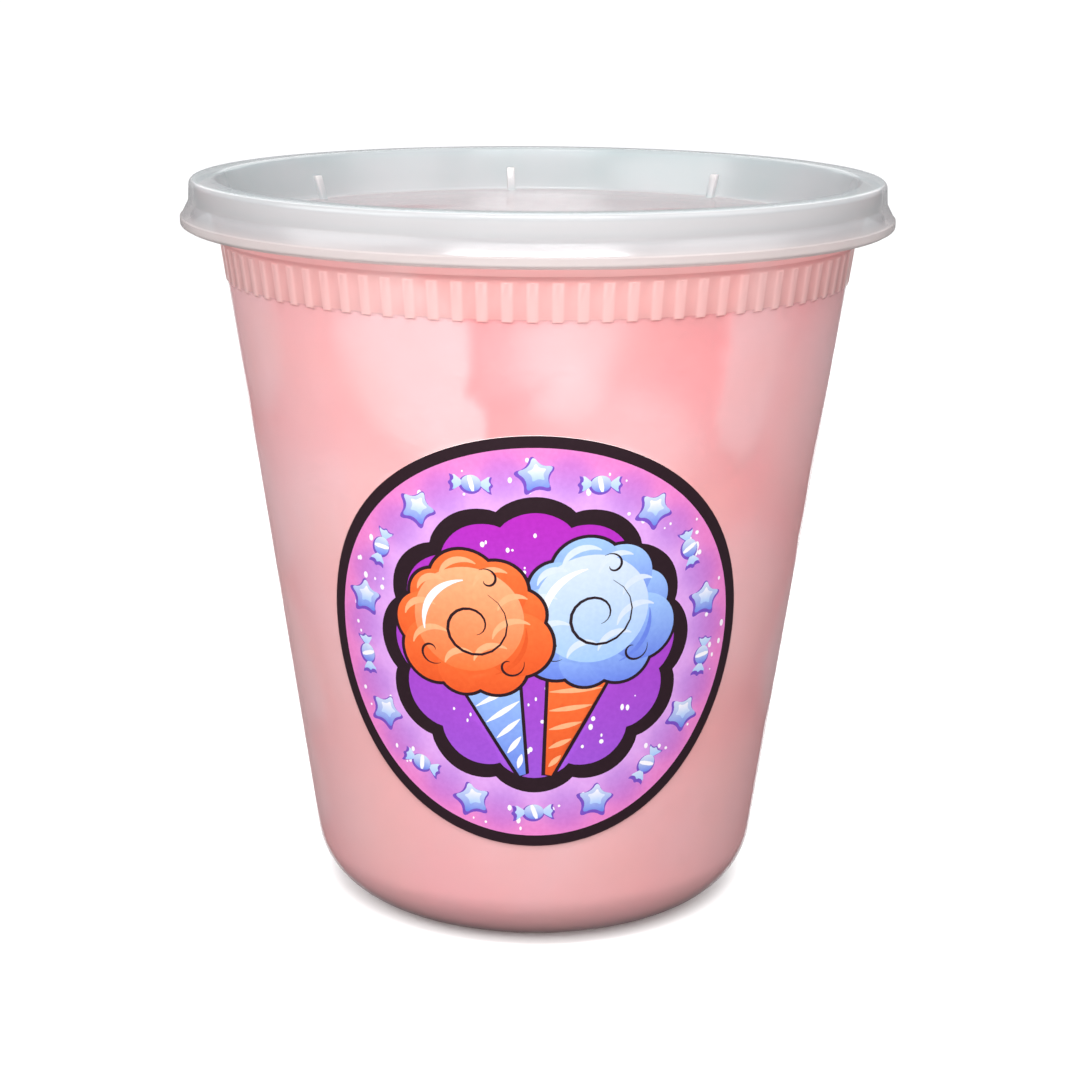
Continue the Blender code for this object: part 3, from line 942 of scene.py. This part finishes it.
def ink_at(points, shape, index):
    """The ink at points of a shape: a blend from its lower to its upper ink."""
    outline, low, high = shape
    if index == 1:
        # The band blends outward, with a violet haze round each motif.
        part = smoothstep(BAND_OUTER - 0.5, BAND_INNER + 1, np.hypot(points[:, 0], points[:, 1]))
        away = np.hypot(*(points[:, None] - ring_of(0, 0, MOTIF_RADIUS, MOTIF_COUNT)).transpose(2, 0, 1))
        haze = HAZE_SHARE * np.exp(-(away.min(1) / HAZE_REACH) ** 4)
    else:
        part = (points[:, 1] - outline[:, 1].min()) / np.ptp(outline[:, 1])
        haze = np.zeros(len(points))
    part, haze = np.clip(part, 0, 1)[:, None], haze[:, None]
    ink = np.array(low) * (1 - part) + np.array(high) * part
    return ink * (1 - haze) + np.array(HAZE) * haze


def on_wall(flat, lift):
    """Wrap flat points, in millimetres from the sticker's middle, on the wall's cone."""
    slant_middle = wall_radius(STICKER_MIDDLE) / math.sin(TAPER)
    across, up = flat[:, 0] * MM, flat[:, 1] * MM + slant_middle
    turn = np.arctan2(across, up) / math.sin(TAPER)
    radius = np.hypot(across, up) * math.sin(TAPER)
    height = (radius - FOOT_RADIUS) / math.tan(TAPER) - lift * math.sin(TAPER)
    radius = radius + lift * math.cos(TAPER)
    return np.stack([radius * np.sin(turn), -radius * np.cos(turn), height], -1)


def build_sticker():
    """The sticker: one thin closed sheet, cut along the outlines of its print."""
    shapes = draw_sticker()
    points, edges = [], []
    for outline, _, _ in shapes:
        first = len(points)
        count = len(outline)
        points += [Vector(point) for point in outline.tolist()]
        edges += [(first + step, first + (step + 1) % count) for step in range(count)]
    steps = np.arange(-STICKER_RADIUS, STICKER_RADIUS, PRINT_GRID)
    grid = np.stack(np.meshgrid(steps, steps), -1).reshape(-1, 2)
    grid = grid[np.hypot(grid[:, 0], grid[:, 1]) < STICKER_RADIUS - 0.5]
    points += [Vector(point) for point in grid.tolist()]
    flat, _, faces, _, _, _ = delaunay_2d_cdt(points, edges, [], 0, 1e-4)
    flat = np.array([tuple(point) for point in flat])
    faces = np.array(faces)
    middles = flat[faces].mean(1)
    owner = np.zeros(len(faces), int)
    for index, (outline, _, _) in enumerate(shapes):
        low, high = outline.min(0), outline.max(0)
        near = np.flatnonzero(np.all((middles > low) & (middles < high), 1))
        owner[near[inside(middles[near], outline)]] = index
    inks = np.ones((len(faces), 3, 4), np.float32)
    for index, shape in enumerate(shapes):
        own = owner == index
        inks[own, :, :3] = ink_at(flat[faces[own]].reshape(-1, 2), shape, index).reshape(-1, 3, 3)
    corners = flat[faces]
    area = np.cross(corners[:, 1] - corners[:, 0], corners[:, 2] - corners[:, 0])
    faces[area < 0] = faces[area < 0][:, ::-1]
    inks[area < 0] = inks[area < 0][:, ::-1]
    sides = np.concatenate([faces[:, [0, 1]], faces[:, [1, 2]], faces[:, [2, 0]]])
    _, first, uses = np.unique(np.sort(sides, 1), axis=0, return_index=True, return_counts=True)
    rim = sides[first[uses == 1]]
    count = len(flat)
    vertices = np.concatenate([on_wall(flat, STICKER_FACE), on_wall(flat, STICKER_BACK)])
    back = faces[:, ::-1] + count
    wall = np.stack([rim[:, 1], rim[:, 0], rim[:, 0] + count, rim[:, 1] + count], -1)
    mesh = bpy.data.meshes.new("round_sticker")
    mesh.from_pydata(vertices.tolist(), [], faces.tolist() + back.tolist() + wall.tolist())
    ink = mesh.attributes.new("ink", "FLOAT_COLOR", "CORNER")
    paper = np.ones((len(back) * 3 + len(wall) * 4, 4), np.float32)
    ink.data.foreach_set("color", np.concatenate([inks.reshape(-1, 4), paper]).ravel())
    piece = add_piece("round_sticker", mesh, [sticker_material()], 40)
    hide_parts("label")
    return piece


# ---------------------------------------------------------------- stage


def build_floor():
    """A wide pale floor under the tub."""
    bm = bmesh.new()
    bmesh.ops.create_circle(bm, cap_ends=True, segments=96, radius=30)
    mesh = bpy.data.meshes.new("floor")
    bm.to_mesh(mesh)
    bm.free()
    floor = bpy.data.objects.new("floor", mesh)
    bpy.context.scene.collection.objects.link(floor)
    mesh.materials.append(floor_material())
    return floor


LIGHT_AIM = Vector((0, 0, 0.07))


def add_panel(name, angle, elevation, distance, size, power, colour):
    """A soft rectangular light at a side angle and an elevation in degrees, aimed at the tub."""
    light = bpy.data.lights.new(name, "AREA")
    light.shape = "RECTANGLE"
    light.size, light.size_y = size
    light.energy = power
    light.color = colour
    obj = bpy.data.objects.new(name, light)
    source = direction(angle) * math.cos(math.radians(elevation))
    source.z = math.sin(math.radians(elevation))
    obj.location = LIGHT_AIM + source * distance
    obj.rotation_euler = source.to_track_quat("Z", "Y").to_euler()
    obj.visible_camera = False
    bpy.context.scene.collection.objects.link(obj)
    return obj


def build_world():
    """A pale surround, brighter above than below."""
    world = bpy.data.worlds.new("surround")
    world.use_nodes = True
    tree = world.node_tree
    background = tree.nodes["Background"]
    place = tree.nodes.new("ShaderNodeTexCoord")
    split = tree.nodes.new("ShaderNodeSeparateXYZ")
    tree.links.new(place.outputs["Generated"], split.inputs["Vector"])
    grey = add_ramp(tree, add_range(tree, split.outputs["Z"], 0, 1, -1, 1), [
        (0.2, (0.09, 0.09, 0.09)), (0.38, (0.2, 0.2, 0.2)), (0.52, (0.27, 0.27, 0.28)), (0.85, (0.42, 0.43, 0.44))
    ])
    tree.links.new(grey, background.inputs["Color"])
    background.inputs["Strength"].default_value = 1
    bpy.context.scene.world = world


def build_lights(floor):
    """A near soft key above the camera, a weaker panel on the left, and a wash on the floor."""
    key = add_panel("key", 5, 24, 0.38, (0.42, 0.26), 1.4, (1, 0.99, 0.98))
    key.visible_glossy = False
    add_panel("left", -62, 28, 0.5, (0.4, 0.3), 1.18, (1, 1, 1))
    add_panel("right", 70, 50, 0.5, (0.3, 0.3), 0.56, (1, 1, 1))
    add_panel("bounce", 0, -7, 0.36, (0.5, 0.04), 0.1, (1, 0.97, 0.95))
    add_panel("top", 0, 57, 0.45, (0.3, 0.03), 1.1, (1, 1, 1))
    add_panel("back", 180, 35, 0.6, (0.7, 0.4), 1.5, (1, 1, 1))
    wash = bpy.data.lights.new("floor_wash", "SUN")
    wash.energy = 2.4
    wash.angle = math.radians(120)
    obj = bpy.data.objects.new("floor_wash", wash)
    bpy.context.scene.collection.objects.link(obj)
    lit = bpy.data.collections.new("washed")
    lit.objects.link(floor)
    obj.light_linking.receiver_collection = lit
    floor.visible_diffuse = False
    floor.visible_glossy = False
    bpy.context.scene.view_settings.view_transform = "Standard"


CAMERA_DISTANCE = 369.8 * MM
CAMERA_HEIGHT = 157.75 * MM
CAMERA_PITCH = 14.826
CAMERA_YAW = -0.114
CAMERA_ROLL = 0.405
CAMERA_LENS = 73.96


def build_camera():
    """A camera a little above the lid, looking down at the front."""
    data = bpy.data.cameras.new("camera")
    data.lens = CAMERA_LENS
    data.sensor_width = 36
    data.clip_start = 0.01
    camera = bpy.data.objects.new("camera", data)
    camera.matrix_world = (
        Matrix.Translation((0, -CAMERA_DISTANCE, CAMERA_HEIGHT))
        @ Matrix.Rotation(math.radians(CAMERA_YAW), 4, "Z")
        @ Matrix.Rotation(math.radians(90 - CAMERA_PITCH), 4, "X")
        @ Matrix.Rotation(math.radians(CAMERA_ROLL), 4, "Z")
    )
    bpy.context.scene.collection.objects.link(camera)
    bpy.context.scene.camera = camera


build_tub()
build_lid()
build_candy()
build_sticker()
build_world()
build_lights(build_floor())
build_camera()

bpy.context.view_layer.update()
